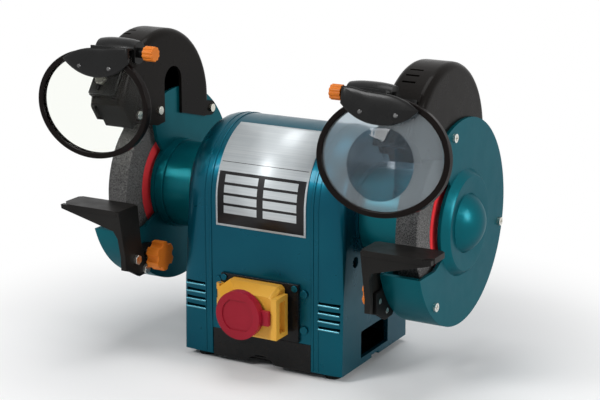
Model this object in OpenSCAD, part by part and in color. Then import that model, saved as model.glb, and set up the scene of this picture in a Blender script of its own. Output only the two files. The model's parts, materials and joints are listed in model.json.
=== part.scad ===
/* Twin-wheel bench grinder. X runs along the spindle, -Y is the front, +Z is up.
   The origin is the centre of the base on the bench, so the rubber feet stand on z = 0. */

/* [Motor body] */
// Height of the spindle above the bench
shaft_z = 141.5; // [138:0.5:150]
// Length of the motor body along the spindle
body_len = 160.4; // [156:0.2:180]
// Depth of the motor body from front to back
body_depth = 130.2; // [128:0.2:140]
// Height of the arch's centre above the spindle
arch_rise = 7.7; // [4:0.1:10]
// Width of the pressed centre shell between the end castings
panel_w = 100; // [96:1:104]
// Wall of the pressed centre shell
shell_t = 2.5; // [1.5:0.1:3.5]
// Wall of the end castings
cast_t = 4; // [3:0.1:5]
// Amount by which an end casting's arch draws in at its outer face
shoulder = 12.7; // [8:0.1:16]
// Height of the rubber feet
foot_h = 6; // [4:0.5:12]
// Radius of the rubber feet
foot_r = 8; // [6:0.5:9]
// Thickness of the base plate
base_t = 2; // [1.5:0.1:3]
// Distance between the vent slots in the end castings
vent_pitch = 7.3; // [6:0.1:9]
// Height of each vent slot
vent_h = 2.2; // [1.5:0.1:3]

/* [Motor] */
// Radius of the spindle inside the rotor
rotor_seat_r = 9; // [8.5:0.1:11]
// Radius of the spindle in its bearings
journal_r = 7.5; // [7:0.1:8]
// Radius of the spindle under the wheels
arbor_r = 6.35; // [6:0.05:6.8]
// Outer radius of the ball bearings
bearing_r = 17.5; // [16:0.5:19]
// Width of the ball bearings
bearing_w = 11; // [9:0.5:12]
// Outer radius of the stator
stator_r = 54; // [52:0.5:56]
// Length of the stator and the rotor
stator_len = 70; // [60:1:76]
// Outer radius of the rotor
rotor_r = 32; // [28:0.5:34]
// Gap between rotor and stator
air_gap = 0.6; // [0.4:0.1:1]
// Radius of the starting capacitor
capacitor_r = 17.5; // [14:0.5:20]
// Length of the starting capacitor
capacitor_len = 62; // [50:1:70]

/* [Wheels] */
// Radius of the grinding wheels
wheel_r = 75; // [70:0.5:76]
// Width of the grinding wheels
wheel_w = 20; // [16:0.5:22]
// Distance from a guard's inner wall to the middle of its wheel
wheel_mid = 18.1; // [16.9:0.1:19]
// Radius of the card blotters
blotter_r = 50; // [44:0.5:54]
// Thickness of a card blotter
blotter_t = 0.6; // [0.4:0.1:1]
// Radius of the wheel flanges
flange_r = 32; // [26:0.5:34]
// Width across the flats of the spindle nuts
nut_af = 19; // [17:0.5:22]

/* [Wheel guards] */
// Outer radius of the guards and of their covers
guard_r = 90.5; // [88:0.5:94]
// Distance from the middle of the body to a guard's inner wall
guard_x = 126.1; // [125:0.1:127]
// Thickness of a guard's inner wall
guard_t = 3.5; // [2.5:0.1:4]
// Thickness of a guard's rim and of its cover
rim_t = 3; // [2:0.1:4]
// Depth of the guard from its inner wall to its cover
guard_depth = 33.5; // [33:0.1:36]
// Radius of the neck that joins a guard to the motor body
neck_r = 39.5; // [37:0.5:42]
// Wall of the neck
neck_t = 3.5; // [2.5:0.1:5]
// Radius of the raised ring on a cover
boss_r = 44; // [42:0.5:48]
// Height of the raised ring on a cover
boss_h = 6.5; // [4:0.5:9]
// Radius of the dome over the spindle nut
dome_r = 26; // [22:0.5:30]
// Height of the dome above the groove around it
dome_h = 15; // [6:0.5:18]
// Depth of the groove between the raised ring and the dome
dome_groove = 2.5; // [0:0.1:3]
// Distance from the spindle to the cover screws
cover_screw_r = 82; // [81.6:0.1:82.6]

/* [Upper shrouds] */
// Radius of a shroud's roof
shroud_r = 72.5; // [70:0.5:76]
// Distance of the roof's axis in front of the spindle
shroud_forward = 22; // [20:0.5:24]
// Height of the roof's axis above the spindle
shroud_rise = 68.5; // [66:0.5:70]
// How much higher the left shroud is set than the right one
shroud_lift = 6.4; // [0:0.2:7]
// Wall of a shroud
shroud_t = 3; // [2:0.1:3.2]
// Rounding of a shroud's edges
shroud_edge = 7; // [4:0.5:10]
// Slope of the pad that carries an eye shield
pad_slope = 34.5; // [32:0.5:38]
// Height of that pad's face above the roof's axis
pad_n = 74.5; // [73.5:0.1:76]

/* [Eye shields] */
// Half of an eye shield's width
visor_a = 58.3; // [55:0.1:60]
// Half of an eye shield's height
visor_b = 48; // [45:0.1:50]
// Width of the rim around the window
visor_rim_w = 5; // [4:0.1:6]
// Depth of the rim around the window
visor_rim_d = 7; // [5:0.1:7]
// Thickness of the window
visor_t = 3; // [2:0.1:4]
// Radius of the magnifier on the right window
magnifier_r = 29.5; // [24:0.5:32]
// Place of the left eye shield along its slot
visor_left_up = 12; // [0:0.5:19]
// Place of the right eye shield along its slot
visor_right_up = 2; // [0:0.5:19]
// Backward lean of the left eye shield
visor_left_lean = 2.5; // [2:0.5:20]
// Backward lean of the right eye shield
visor_right_lean = 12.5; // [8:0.5:20]
// Travel of an eye shield's arm along its slot
visor_travel = 21.5; // [15:0.5:22]
// Radius of the hinge screw of an eye shield
hinge_r = 3; // [2.5:0.1:3.5]
// Radius of the small clamp knobs
small_knob_r = 6.5; // [5.5:0.1:8]

/* [Tool rests] */
// Height of a rest's table above the bench
rest_z = 139; // [136:0.5:140]
// Gap between a rest's table and the wheel
rest_gap = 4; // [3.5:0.1:6]
// Depth of a rest's table
rest_depth = 30; // [26:0.5:34]
// Length of a rest's table along the spindle
rest_len = 63; // [55:0.5:66]
// Thickness of a rest's table
rest_t = 5; // [4:0.1:6]
// Thickness of a rest's leg and of the arm that carries it
leg_t = 3.3; // [2.5:0.1:3.4]
// Radius of the large clamp knobs
knob_r = 13.5; // [12:0.5:15]
// Length of the large clamp knobs
knob_len = 12.5; // [10:0.5:14]
// Travel of a rest away from its wheel
rest_back = 8; // [5:0.5:9]

/* [Spark deflectors] */
// Length of a deflector's plate
deflector_len = 26; // [22:0.5:28]
// Thickness of a deflector's plate
deflector_t = 2.5; // [1.5:0.1:3]
// Travel of a deflector towards its wheel
deflector_travel = 14; // [10:0.5:15]

/* [Switch] */
// Width of the switch plate
plate_w = 78; // [76:0.5:84]
// Height of the switch plate
plate_h = 52.7; // [52:0.1:56]
// Thickness of the switch plate
plate_t = 3; // [2:0.1:4]
// Distance from the bench to the switch plate's lower edge
plate_z = 31.8; // [31.5:0.1:33]
// Width of the hinged lid
lid_w = 64; // [62:0.5:66]
// Height of the hinged lid
lid_h = 45; // [44:0.5:46]
// Depth of the hinged lid
lid_d = 21; // [20:0.5:24]
// Wall of the hinged lid
lid_t = 2; // [1.5:0.1:2.2]
// Radius of the red stop disc
disc_r = 21.7; // [20:0.1:23]
// Thickness of the red stop disc
disc_t = 8; // [6:0.5:9]
// Stroke of the stop disc and of both buttons
press = 2; // [1:0.1:2.5]

/* [Tray and plate] */
// Height of the coolant tray's front
tray_front_h = 25.5; // [22:0.5:26]
// Wall of the coolant tray
tray_t = 1.5; // [1:0.1:2]
// Width of the data plate
label_w = 90; // [80:1:94]
// Thickness of the data plate
label_t = 0.8; // [0.5:0.1:1]

/* [Hidden] */
$fn = 96;

LEFT = -1;
RIGHT = 1;
// Clearance between parts that slide or turn past each other
slip = 0.2;
// Radial clearance of a pin in its bore
fit = 0.05;
// Overreach of a cutter past the face that it opens
over = 1;

// Body
half_len = body_len / 2;
half_depth = body_depth / 2;
half_panel = panel_w / 2;
arch_z = shaft_z + arch_rise;
base_top = foot_h + base_t;
// The flanks of an end casting are upright up to this height above the feet
flank_h = 66;
// Part of the shoulder that the flank's foot and its top draw in
foot_share = 0.12;
flank_share = 0.25;
// Part of the shoulder by which the arch's centre drops
drop_share = 0.41;
shoulder_x = half_panel + 8;
shoulder_steps = 6;
slice_t = 0.1;
front_y = -half_depth;
window_y = [-28, 25.5];
window_z = [foot_h + 6, foot_h + 31];
vent_z = foot_h + 41.5;
vents = 4;
vent_x = half_panel + 7;
vent_end = 2.2;
vent_len = half_len - vent_x - vent_end;
post_r = 5.5;
post_at = stator_r - post_r;
winding_r = post_at - post_r - 1;
winding_in = rotor_r + 2.6;
winding_round = 3;
winding_end = stator_len / 2 + 12 - winding_round;
hub_wall = 5;
hub_x = half_len - cast_t - bearing_w - 4;
ring_h = 2.5;
ring_r = neck_r + 2;
service_hole = [-40, shaft_z - 37.5];
gland_at = [-half_panel - 13, foot_h + 30];
gland_r = 7;
cord_r = 3.6;

foot_x = half_len - 15.2;
foot_y = half_depth - 14.1;
foot_stem_r = 3;
foot_draft = 0.6;
screw_r = 2.5;
screw_head_r = 3.8;
panel_screw_at = [for (x = [-1, 1], z = [shaft_z - 65, shaft_z - 98]) [x * (plate_w / 2 + 4.5), z]];
plate_screw_at = [for (x = [-1, 1]) [x * (plate_w / 2 - 3.3), plate_z + plate_h - 3.5]];
plate_screw_r = 2;
plate_screw_head_r = 3;
fan_t = 6;
fan_room = 5.7;
fan_x = hub_x - fan_t - fan_room;
fan_r = 30;
fan_hub_r = 14;
rotor_seat_end = fan_x + fan_t;
// Angle from the top of the arch to the data plate's upper edge, and the height of its lower edge
label_top = 18.8;
label_low = shaft_z - 14.2;

// Guard unit, all on the right-hand side
guard_in = guard_x + guard_t;
cover_x = guard_x + guard_depth;
cover_out = cover_x + rim_t;
groove_x = boss_h - dome_groove;
// The rim runs from behind the shroud, under the wheel, to the front lip
rim_back_angle = 54;
rim_front_angle = -161.4;
cover_screw_angles = [107, -13, -133];
cover_post_r = 5.6;
shroud_bolt = [-35, shaft_z + 75];
shroud_tab = [53, shaft_z + 61.6];
tab_r = 7;
wheel_x = guard_x + wheel_mid;
wheel_in = wheel_x - wheel_w / 2;
wheel_out = wheel_x + wheel_w / 2;
flange_in_t = 6;
flange_out_t = 4;
flange_seat = wheel_in - blotter_t - flange_in_t;
nut_x = wheel_out + blotter_t + flange_out_t;
nut_t = 8;
spindle_end = nut_x + nut_t + 3;

// Shroud
shroud_y = -shroud_forward;
shroud_z = shaft_z + shroud_rise;
shroud_x = guard_x - shroud_t;
slits = 3;
slit_h = 2;
slit_len = 12;
slit_step = 6.8;
slit_x_left = wheel_x + 2.5;
slit_x_right = wheel_x - 12.5;
notch_y = -12;
notch_top = shaft_z + 98;
notch_r = 14;
pad_x = [wheel_x - 17, wheel_x + 11];
pad_t = [-24, 16];
pad_bolt_r = 3;
pad_bolt_t = -10;
pad_bolt_in = shroud_r - shroud_t - 4;
pad_dir = [-cos(pad_slope), sin(pad_slope)];
up_dir = [sin(pad_slope), cos(pad_slope)];

// Eye shield: the hinge screw lies above and behind the window's centre
hinge_up = visor_b - 1;
hinge_back = 11;
hinge_n = pad_n + 19.4;
barrel_r = hinge_r + 3;
arm_t = 3;
slot_top = -8;
arm_x = [wheel_x - 16, wheel_x + 10];
web_x = arm_x[0] + 0.2;
web_w = 10;
ear_t = 3.5;
ear_gap = 0.5;
hood_r = 11.7;
hood_t = 3;
roof_up = 3.2;
roof_t = 2.3;
roof_back = 8.4;
bracket_in = 40;
bracket_out = 1;
barrel_x = [wheel_x - bracket_in + ear_t + ear_gap, wheel_x - bracket_out - ear_t - ear_gap];
rivet_x = 15.7;
rivet_y = 33.5;
leaf_mid = 5.5;
leaf_t = 2.4;
leaf_low = 24.5;
leaf_low_r = 48.5;
leaf_top_r = 57.8;
leaf_gap = 0.1;
leaf_front = visor_rim_d / 2 + leaf_gap + leaf_t;
rivet_r = 2;
rivet_head_r = 3.2;
rivet_boss_r = 5;
groove = 2;
magnifier_at = [-1.5, -6];
magnifier_h = 4;
tilt_knob_at = bracket_in + 7;
tilt_knob_len = 10;

// Tool rest
rest_back_y = -wheel_r - rest_gap;
rest_front_y = rest_back_y - rest_depth;
arm_face = guard_x - slip;
leg_face = arm_face - leg_t;
leg_in = leg_face - leg_t;
knob_y = -60;
knob_z = shaft_z - 53.5;
stud_r = 3;
stud_out = 3;
collar_r = 5;
rest_in = 3;
bolt_head_t = 3;
bolt_af = 8;
knob_x = leg_in - bolt_head_t - 0.6 - knob_len;
leg_low = [rest_front_y + 9, shaft_z - 59.5];
apron_t = 5;
high_bolt = [rest_back_y - 4, shaft_z - 53];
low_bolt = [rest_back_y + 9.5, shaft_z - 65];
rest_bolt_yz = [high_bolt, low_bolt];
rest_bolt_r = 2.5;

// Deflector: it runs down and back from the shroud's front lip
deflector_top = [shroud_y - 64, shroud_z + 18];
deflector_dir = [0.537, -0.844];
deflector_back = [0.844, 0.537];
deflector_lean = atan2(deflector_dir[1], deflector_dir[0]);
deflector_ear = 18;
deflector_slot = 18;
deflector_screw_in = 10;
deflector_gap = 0.5;
deflector_screw = deflector_top + deflector_slot * deflector_dir + deflector_screw_in * deflector_back;

// Switch
plate_y = front_y - plate_t;
plate_mid_z = plate_z + plate_h / 2;
lid_x = [-plate_w / 2 + 1, -plate_w / 2 + 1 + lid_w];
lid_z = [plate_z + 6, plate_z + 6 + lid_h];
lid_back = plate_y - slip;
lid_front = lid_back - lid_d;
pin_x = lid_x[0];
pin_y = plate_y - 3.5;
pin_r = 1.5;
knuckle_r = 3.2;
knuckles = [[lid_z[0] + 17, lid_z[0] + 25], [lid_z[0] + 33, lid_z[0] + 38.5]];
fixed_knuckles = [[knuckles[0][0] - 6.2, knuckles[0][0] - slip],
                  [knuckles[0][1] + slip, knuckles[1][0] - slip]];
disc_at = [-3.5, lid_z[0] + 21.5];
disc_stem_r = 5;
disc_y = lid_front - press - 0.4;
tab_h = 13;
tab_t = 4;
loop_t = 5;
button_r = 6;
button_out = 4;
button_x = 9;
switch_w = 40;
switch_h = 30;
switch_out = 10;
switch_in = 26;

// Tray
tray_half = half_panel - 0.3;
tray_front_z = foot_h - 1;
tray_back = half_depth - 12;
tray_front_t = 3;
tray_floor = base_top + 0.3;
tray_h = 19;

// Puts a part made for the right-hand side on either side.
module at_side(side) {
    if (side == LEFT) mirror([1, 0, 0]) children();
    else children();
}

// Sweeps an outline drawn in y and z from x = span[0] to span[1].
module along_x(span)
    translate([span[0], 0, 0]) rotate([90, 0, 90]) linear_extrude(span[1] - span[0]) children();

// Sweeps an outline drawn in x and z from y = span[0] to span[1].
module along_y(span)
    translate([0, span[1], 0]) rotate([90, 0, 0]) linear_extrude(span[1] - span[0]) children();

// A round bar along x whose axis is at yz.
module rod_x(span, r, yz)
    translate([span[0], yz[0], yz[1]]) rotate([0, 90, 0]) cylinder(h = span[1] - span[0], r = r);

// A round bar along y whose axis is at xz.
module rod_y(span, r, xz)
    translate([xz[0], span[1], xz[1]]) rotate([90, 0, 0]) cylinder(h = span[1] - span[0], r = r);

// A hexagon nut or bolt head along x.
module hex_x(span, across, yz)
    translate([span[0], yz[0], yz[1]]) rotate([0, 90, 0])
        cylinder(h = span[1] - span[0], d = across / cos(30), $fn = 6);

// Turns a profile of [radius, x] points about the x axis through yz.
module turned_x(points, yz)
    translate([0, yz[0], yz[1]]) rotate([0, 90, 0]) rotate_extrude() polygon(points);

// A slot with round ends from p to q.
module slot(p, q, r) {
    run = q - p;
    translate(p) circle(r);
    translate(q) circle(r);
    translate(p) rotate(atan2(run[1], run[0])) translate([0, -r]) square([norm(run), 2 * r]);
}

// A wedge about the origin from angle a to angle b.
module sector(a, b) polygon(concat([[0, 0]], bend([0, 0], 300, a, b, 10)));

// The arc from angle a to angle b about c, as points.
function bend(c, r, a, b, steps = 6) =
    [for (i = [0:steps]) c + r * [cos(a + (b - a) * i / steps), sin(a + (b - a) * i / steps)]];

// An oval as points.
function oval(a, b, count = 80) =
    [for (i = [0:count - 1]) [a * cos(360 * i / count), b * sin(360 * i / count)]];

/* Motor body */

// The body's arch along a span of x, drawn in by inset and by a wall. A hull joins such slices.
module arch_slice(span, inset, wall) {
    foot_half = half_depth - inset * foot_share - wall;
    flank_half = half_depth - inset * flank_share - wall;
    along_x(span) {
        translate([0, arch_z - inset * drop_share]) circle(half_depth - inset - wall, $fn = 64);
        polygon([[-foot_half, foot_h], [foot_half, foot_h],
                 [flank_half, foot_h + flank_h], [-flank_half, foot_h + flank_h]]);
    }
}

module motor_shell() color("#1d5f6e") difference() {
    along_x([-half_panel, half_panel]) difference() {
        union() {
            translate([0, arch_z]) circle(half_depth);
            translate([-half_depth, foot_h]) square([body_depth, arch_z - foot_h]);
        }
        translate([0, arch_z]) circle(half_depth - shell_t);
        translate([-half_depth + shell_t, foot_h - over])
            square([body_depth - 2 * shell_t, arch_z - foot_h + over]);
    }
    // mouth of the coolant tray
    translate([-half_panel - over, front_y - over, 0])
        cube([panel_w + 2 * over, shell_t + 2 * over, tray_front_z + tray_front_h + 0.3]);
    // opening for the switch
    along_y([front_y - over, front_y + shell_t + over])
        translate([-switch_w / 2 - slip, plate_mid_z - switch_h / 2 - slip])
            square([switch_w + 2 * slip, switch_h + 2 * slip]);
    for (at = panel_screw_at) rod_y([front_y - over, front_y + shell_t + over], screw_r, at);
}

// Solid of an end casting, or its hollow when it is given a wall.
module casting_form(wall) {
    near = shoulder_x - wall;
    far = half_len - slice_t - wall;
    hull() {
        arch_slice([half_panel - (wall > 0 ? over : 0), near], 0, wall);
        for (i = [1:shoulder_steps]) {
            x = near + (far - near) * sin(90 * i / shoulder_steps);
            arch_slice([x, x + slice_t], shoulder * (1 - cos(90 * i / shoulder_steps)), wall);
        }
    }
}
module end_casting(side) color("#1d5f6e") at_side(side) difference() {
    union() {
        difference() {
            casting_form(0);
            translate([0, 0, -cast_t]) casting_form(cast_t);
        }
        rod_x([hub_x, half_len - over], bearing_r + hub_wall, [0, shaft_z]);
        rod_x([half_len - over, half_len + ring_h], ring_r, [0, shaft_z]);
        for (a = [45:90:315])
            rod_x([stator_len / 2, half_len - over], post_r,
                  [post_at * cos(a), shaft_z + post_at * sin(a)]);
    }
    rod_x([hub_x - over, hub_x + bearing_w], bearing_r, [0, shaft_z]);
    rod_x([0, half_len + ring_h + over], journal_r + over, [0, shaft_z]);
    along_x([half_len - cast_t - over, half_len + over]) {
        translate([window_y[0], window_z[0]]) square([window_y[1] - window_y[0], window_z[1] - window_z[0]]);
        translate([-7, 0]) square([14, foot_h + 2.5]);
    }
    rod_x([half_len - cast_t - over, half_len + over], 5, service_hole);
    for (i = [0:vents - 1])
        translate([vent_x, -half_depth - over, vent_z + i * vent_pitch])
            cube([vent_len, body_depth + 2 * over, vent_h]);
    if (side == LEFT)
        rod_y([half_depth - 2 * cast_t, half_depth + over], gland_r, [-gland_at[0], gland_at[1]]);
}

module base_plate() color("#2b2e30") difference() {
    translate([-half_len + cast_t, -half_depth + cast_t + 2, foot_h])
        cube([body_len - 2 * cast_t, body_depth - 2 * cast_t - 4, base_t]);
    at_feet() cylinder(h = base_top + over, r = foot_stem_r);
}

module at_feet() for (x = [-1, 1], y = [-1, 1]) translate([x * foot_x, y * foot_y, 0]) children();

module feet() color("#151515") at_feet() {
    cylinder(h = foot_h, r1 = foot_r - foot_draft, r2 = foot_r);
    cylinder(h = base_top, r = foot_stem_r);
}

module data_plate() color("#c9ced0") along_x([-label_w / 2, label_w / 2]) intersection() {
    difference() {
        union() {
            translate([0, arch_z]) circle(half_depth + label_t);
            translate([-half_depth - label_t, label_low]) square([half_depth, arch_z - label_low]);
        }
        translate([0, arch_z]) circle(half_depth);
        translate([-half_depth, 0]) square([body_depth, arch_z]);
    }
    polygon([[0, arch_z], [-2 * half_depth * sin(label_top), arch_z + 2 * half_depth * cos(label_top)],
             [-2 * half_depth, arch_z], [-2 * half_depth, label_low], [0, label_low]]);
}

module cord_gland() color("#151515") translate([gland_at[0], half_depth, gland_at[1]]) rotate([-90, 0, 0])
    difference() {
        union() {
            translate([0, 0, -cast_t - 2]) cylinder(h = cast_t + 6, r = gland_r);
            cylinder(h = 3, r = gland_r + 3);
            translate([0, 0, 3]) cylinder(h = 9, r1 = gland_r, r2 = gland_r - 1.5);
        }
        translate([0, 0, -cast_t - 3]) cylinder(h = 30, r = cord_r);
    }

/* Motor */

module stator_core() color("#6f7274") difference() {
    rod_x([-stator_len / 2, stator_len / 2], stator_r, [0, shaft_z]);
    rod_x([-stator_len, stator_len], rotor_r + air_gap, [0, shaft_z]);
}

module windings() color("#9a5a2a") for (side = [LEFT, RIGHT]) at_side(side)
    turned_x(concat([[winding_in, stator_len / 2], [winding_r, stator_len / 2]],
                    bend([winding_r - winding_round, winding_end], winding_round, 0, 90),
                    bend([winding_in + winding_round, winding_end], winding_round, 90, 180)), [0, shaft_z]);

module bearings() color("#b9bcbf") for (side = [LEFT, RIGHT]) at_side(side) difference() {
    rod_x([hub_x, hub_x + bearing_w], bearing_r, [0, shaft_z]);
    rod_x([hub_x - over, hub_x + bearing_w + over], journal_r + fit, [0, shaft_z]);
    for (x = [hub_x - over, hub_x + bearing_w - 1]) difference() {
        rod_x([x, x + 1 + over], bearing_r - 3, [0, shaft_z]);
        rod_x([x - over, x + 3 * over], journal_r + 2.5, [0, shaft_z]);
    }
}

module rotor_core() color("#8a8d90") difference() {
    rod_x([-stator_len / 2, stator_len / 2], rotor_r, [0, shaft_z]);
    rod_x([-stator_len, stator_len], rotor_seat_r, [0, shaft_z]);
}

module fan() color("#24282a") difference() {
    union() {
        rod_x([fan_x, fan_x + fan_t], fan_hub_r, [0, shaft_z]);
        for (a = [0:45:315]) translate([fan_x, 0, shaft_z]) rotate([a, 0, 0])
            translate([1, -0.8, fan_hub_r - 1]) cube([4.4, 1.6, fan_r - fan_hub_r]);
    }
    rod_x([fan_x - over, fan_x + fan_t + over], rotor_seat_r, [0, shaft_z]);
}

module capacitor() color("#d8d4c8")
    rod_x([-capacitor_len / 2, capacitor_len / 2], capacitor_r,
          [half_depth - shell_t - capacitor_r, foot_h + 50]);

module spindle() color("#b5b8ba") {
    rod_x([-rotor_seat_end, rotor_seat_end], rotor_seat_r, [0, shaft_z]);
    rod_x([-flange_seat, flange_seat], journal_r, [0, shaft_z]);
    rod_x([-spindle_end, spindle_end], arbor_r, [0, shaft_z]);
}

/* Wheels */

module wheel(side) color("#77756f") at_side(side) difference() {
    rod_x([wheel_in, wheel_out], wheel_r, [0, shaft_z]);
    rod_x([wheel_in - over, wheel_out + over], arbor_r, [0, shaft_z]);
}

module blotters() color("#b3202a") for (side = [LEFT, RIGHT], x = [wheel_in - blotter_t, wheel_out])
    at_side(side) difference() {
        rod_x([x, x + blotter_t], blotter_r, [0, shaft_z]);
        rod_x([x - over, x + blotter_t + over], arbor_r, [0, shaft_z]);
    }

// Dished clamping flanges: only their outer edge bears on the wheel.
module wheel_flanges() color("#8d9093") for (side = [LEFT, RIGHT]) at_side(side) difference() {
    union() {
        rod_x([flange_seat, wheel_in - blotter_t], flange_r - 8, [0, shaft_z]);
        rod_x([wheel_in - blotter_t - 3, wheel_in - blotter_t], flange_r, [0, shaft_z]);
        rod_x([nut_x - flange_out_t, nut_x], flange_r, [0, shaft_z]);
    }
    rod_x([flange_seat - over, nut_x + over], arbor_r, [0, shaft_z]);
    rod_x([wheel_in - blotter_t - 1.5, nut_x - flange_out_t + 1.5], flange_r - 7, [0, shaft_z]);
}

module spindle_nuts() color("#c4c7c9") for (side = [LEFT, RIGHT]) at_side(side) difference() {
    hex_x([nut_x, nut_x + nut_t], nut_af, [0, shaft_z]);
    rod_x([nut_x - over, nut_x + nut_t + over], arbor_r, [0, shaft_z]);
}

/* Wheel guards */

// The front window of a guard, in y and z: above the rest, below the shroud, round the boss.
module guard_window(r) translate([0, shaft_z]) difference() {
    polygon([[-120, 110], [-45, 110], [-42, 80], [-34.2, 46.7], [0, 0],
             [-36.3, -20.4], [-56, -29], [-120, -29]]);
    circle(r);
}

module guard(side) color("#1d5f6e") at_side(side) difference() {
    union() {
        along_x([guard_x, guard_in]) difference() {
            translate([0, shaft_z]) circle(guard_r);
            guard_window(ring_r + 2);
        }
        along_x([guard_x, cover_x]) translate([0, shaft_z]) intersection() {
            difference() {
                circle(guard_r);
                circle(guard_r - rim_t);
            }
            sector(rim_front_angle, rim_back_angle);
        }
        rod_x([guard_x - 8, guard_x + over], ring_r, [0, shaft_z]);
        rod_x([half_len + ring_h, guard_x + over], neck_r, [0, shaft_z]);
        for (i = [1, 2]) rod_x([guard_x + over, cover_x], cover_post_r, cover_screw_yz(i));
    }
    rod_x([half_len + ring_h + 4, guard_in + over], neck_r - neck_t, [0, shaft_z]);
    rod_x([half_len, half_len + ring_h + 5], journal_r + over, [0, shaft_z]);
    for (i = [1, 2]) rod_x([cover_x - 12, cover_x + over], screw_r, cover_screw_yz(i));
    rod_x([guard_x - over, guard_in + over], screw_r, shroud_bolt);
    rod_x([guard_x - over, guard_in + stud_out + over], stud_r + fit, [knob_y, knob_z]);
}

function cover_screw_yz(i) =
    [cover_screw_r * cos(cover_screw_angles[i]), shaft_z + cover_screw_r * sin(cover_screw_angles[i])];

// A round cap's profile as [radius, height] points from its middle to its rim, raised by a base.
function cap(rim, high, base = 0) = let (ball = (rim * rim + high * high) / (2 * high))
    [for (i = [0:8]) [rim * i / 8, base + high - ball + sqrt(ball * ball - rim * rim * i * i / 64)]];

function reversed(points) = [for (i = [len(points) - 1:-1:0]) points[i]];

module cover(side) color("#1d5f6e") at_side(side) difference() {
    turned_x(concat(
        [[guard_r, cover_x], [guard_r, cover_out], [boss_r + 2.5, cover_out],
         [boss_r - 1, cover_out + boss_h - 1.5], [boss_r - 3, cover_out + boss_h],
         [boss_r - 6, cover_out + boss_h], [dome_r + 2, cover_out + groove_x]],
        reversed(cap(dome_r, dome_h, cover_out + groove_x)),
        cap(dome_r - 2, dome_h - 1, cover_x + groove_x),
        [[dome_r + 2, cover_x + groove_x], [boss_r - 7, cover_x + boss_h],
         [boss_r - 4, cover_x + boss_h], [boss_r - 1, cover_x]]), [0, shaft_z]);
    along_x([cover_x - over, cover_out + boss_h + over]) guard_window(boss_r + 2.5);
    for (i = [0:2]) rod_x([cover_x - over, cover_out + over], screw_r, cover_screw_yz(i));
}

module cover_screws() color("#b9bcbf") for (side = [LEFT, RIGHT], i = [0:2]) at_side(side) difference() {
    union() {
        rod_x([cover_x - 8, cover_out + over], screw_r, cover_screw_yz(i));
        rod_x([cover_out, cover_out + 2.6], screw_head_r, cover_screw_yz(i));
    }
    translate([cover_out + 1.4, cover_screw_yz(i)[0], cover_screw_yz(i)[1]]) cross(screw_head_r);
}

// Cross recess of a screw head, cut from x = 0 outwards.
module cross(r)
    for (a = [0, 90]) rotate([a, 0, 0]) translate([0, -r * 0.6, -0.5]) cube([3, r * 1.2, 1]);

/* Upper shrouds */

// Profile of a shroud as [radius, x], with rounded edges, drawn in by a wall.
function shroud_profile(wall) = let (r = shroud_edge - wall, mid = shroud_r - shroud_edge)
    concat([[0, shroud_x + wall]], bend([mid, shroud_x + shroud_edge], r, -90, 0),
           bend([mid, cover_x - shroud_edge], r, 0, 90), [[0, cover_x - wall]]);

// Axis of a shroud's roof.
function shroud_at(side) = [shroud_y, shroud_z + (side == LEFT ? shroud_lift : 0)];

// Side view of a shroud: its lower edges, open above.
module shroud_side() polygon([
    [shroud_y - 120, shroud_z + 20], [shroud_y - 69.7, shroud_z + 20], [shroud_y - 58, shroud_z + 3],
    [shroud_y - 16, shroud_z - 7], [25 + shroud_y, shroud_z - 2.6], [shroud_y + 66, shroud_z - 13.5],
    [shroud_y + shroud_r, shroud_z + 8], [shroud_y + 120, shroud_z + 120], [shroud_y - 120, shroud_z + 120]]);

module shroud(side) color("#232425") at_side(side) difference() {
    union() {
        intersection() {
            difference() {
                turned_x(shroud_profile(0), shroud_at(side));
                turned_x(shroud_profile(shroud_t), shroud_at(side));
            }
            along_x([shroud_x - over, cover_x + over]) shroud_side();
        }
        // pad for the eye shield's arm
        along_x(pad_x) translate(shroud_at(side)) difference() {
            rotate(90 - pad_slope) translate([pad_t[0], 0]) square([pad_t[1] - pad_t[0], pad_n]);
            circle(shroud_r - shroud_t);
        }
        // rear tab on the guard's wall
        along_x([shroud_x, guard_x]) slot(shroud_tab, [shroud_tab[0] - 14, shroud_tab[1] + 2], tab_r);
    }
    // room for the guard's wall
    rod_x([guard_x, guard_in + slip], guard_r + slip, [0, shaft_z]);
    // notch in the wall that faces the motor
    along_x([shroud_x - over, guard_x]) slot([notch_y, shroud_z - 20], [notch_y, notch_top], notch_r);
    pad_frame(side) translate([wheel_x, pad_bolt_t, shroud_r - 10]) cylinder(h = 20, r = pad_bolt_r);
    rod_x([shroud_x - over, guard_x + over], screw_r, shroud_bolt);
    rod_x([shroud_x - over, guard_x + over], screw_r, deflector_screw);
    rod_x([cover_x - shroud_t - over, cover_x + over], screw_r, cover_screw_yz(0));
    rod_x([shroud_x - over, guard_x + over], screw_r, shroud_tab);
    for (i = [0:slits - 1]) translate(concat(side == LEFT ? slit_x_left : slit_x_right, shroud_at(side)))
        rotate([-slit_angle(side) - i * slit_step, 0, 0])
            translate([0, -shroud_r - over, -slit_h / 2]) cube([slit_len, shroud_t + 2 * over, slit_h]);
}

// Angle of the lowest slit above the horizontal; the left shroud's slits sit higher.
function slit_angle(side) = side == LEFT ? 66 : 57.5;

// Brings parts into a pad's frame: y runs up the pad, z stands out of it, from the roof's axis.
module pad_frame(side) translate(concat(0, shroud_at(side))) rotate([90 - pad_slope, 0, 0]) children();

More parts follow.
